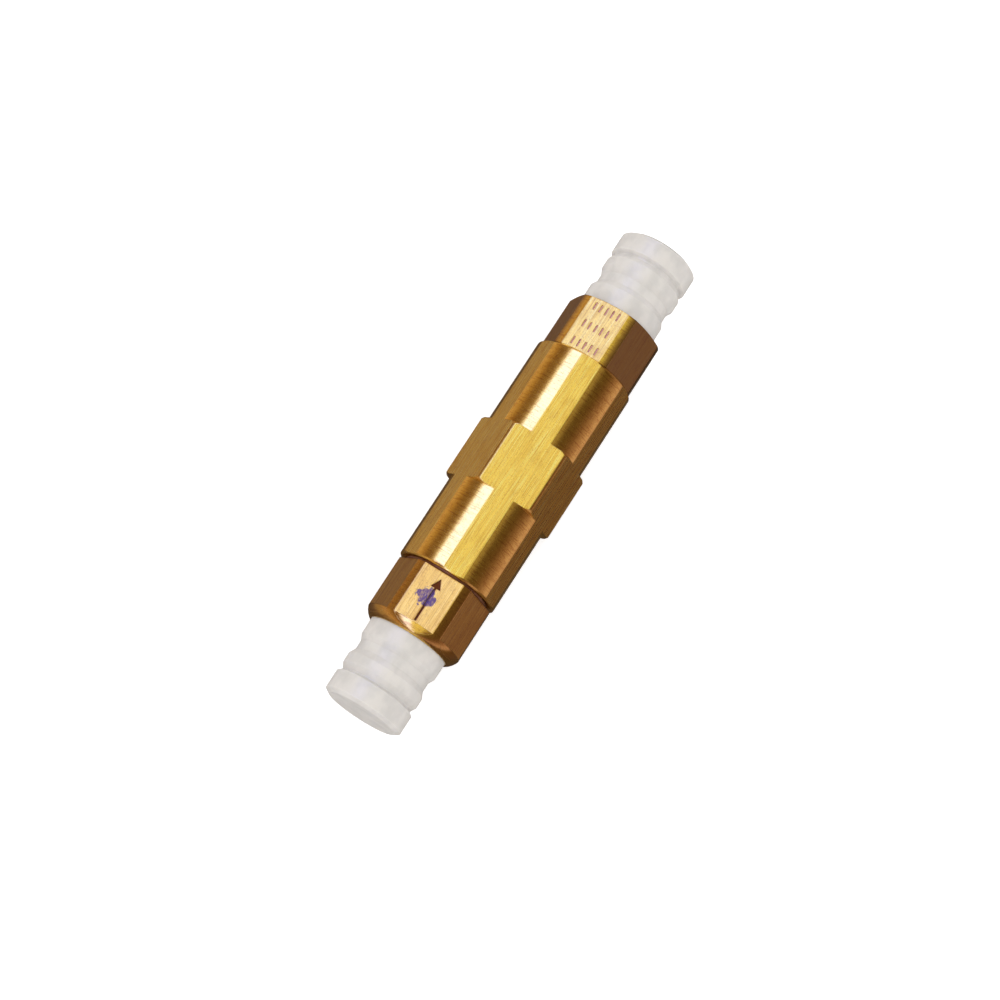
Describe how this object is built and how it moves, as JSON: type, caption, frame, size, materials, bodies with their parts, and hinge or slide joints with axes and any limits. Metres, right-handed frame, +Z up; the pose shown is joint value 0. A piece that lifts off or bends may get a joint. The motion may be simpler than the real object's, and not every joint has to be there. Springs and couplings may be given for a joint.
{
  "type": "inline check valve",
  "caption": "Brass in-line check valve for gas tube: hexagon body with turned barrels, a hollow union screw and a plastic transit plug at each end.",
  "frame": {"origin": "middle of the body's collar on the flow axis", "axes": "+X is the flow direction, from the inlet to the outlet; +Z is up through one flat of the body's hexagon; +Y completes a right-handed frame"},
  "size_m": [0.1009, 0.0216, 0.019],
  "materials": {
    "body_brass": "turned and drawn hexagon bar, bright with fine turning lines",
    "screw_brass": "drawn hexagon bar, satin, with turned corners and bright cone",
    "ring_brass": "turned",
    "poppet_brass": "turned",
    "seal_rubber": "matt black",
    "pretension_rubber": "matt dark grey",
    "spring_steel": "drawn spring wire",
    "plug_plastic": "milky natural polyethylene"
  },
  "bodies": {
    "body": {"valve_body": "body_brass", "valve_spring": "spring_steel", "spring_guide": "poppet_brass", "guide_circlip": "spring_steel", "inlet_port_seal": "seal_rubber", "outlet_port_seal": "seal_rubber", "inlet_support_washer": "ring_brass", "outlet_support_washer": "ring_brass", "inlet_pretension_ring": "pretension_rubber", "outlet_pretension_ring": "pretension_rubber"},
    "poppet": {"poppet": "poppet_brass", "poppet_seal": "seal_rubber"},
    "inlet_ring": {"inlet_retaining_ring": "ring_brass"},
    "inlet_screw": {"inlet_union_screw": "screw_brass", "inlet_thread_seal": "seal_rubber"},
    "inlet_plug": {"inlet_transit_plug": "plug_plastic"},
    "outlet_ring": {"outlet_retaining_ring": "ring_brass"},
    "outlet_screw": {"outlet_union_screw": "screw_brass", "outlet_thread_seal": "seal_rubber"},
    "outlet_plug": {"outlet_transit_plug": "plug_plastic"}
  },
  "joints": [
    {"name": "poppet_lift", "type": "slide", "parent": "body", "child": "poppet", "axis": [1, 0, 0], "range_m": [0, 0.002], "stiffness_N_per_m": 400, "springref_m": -0.003, "deforming": ["valve_spring"]},
    {"name": "inlet_screw_advance", "type": "slide", "parent": "body", "child": "inlet_ring", "axis": [-1, 0, 0], "range_m": [0, 0.0061]},
    {"name": "inlet_screw_turn", "type": "hinge", "parent": "inlet_ring", "child": "inlet_screw", "pos_m": [-0.0237, 0, 0], "axis": [-1, 0, 0], "range_deg": [0, 1440]},
    {"name": "inlet_plug_pull", "type": "slide", "parent": "inlet_ring", "child": "inlet_plug", "axis": [-1, 0, 0], "range_m": [0, 0.0145]},
    {"name": "outlet_screw_advance", "type": "slide", "parent": "body", "child": "outlet_ring", "axis": [1, 0, 0], "range_m": [0, 0.0061]},
    {"name": "outlet_screw_turn", "type": "hinge", "parent": "outlet_ring", "child": "outlet_screw", "pos_m": [0.0237, 0, 0], "axis": [1, 0, 0], "range_deg": [0, 1440]},
    {"name": "outlet_plug_pull", "type": "slide", "parent": "outlet_ring", "child": "outlet_plug", "axis": [1, 0, 0], "range_m": [0, 0.0145]}
  ],
  "couplings": [
    {"joint": "inlet_screw_advance", "follows": "inlet_screw_turn", "m_per_rad": 0.00023873},
    {"joint": "outlet_screw_advance", "follows": "outlet_screw_turn", "m_per_rad": 0.00023873}
  ]
}
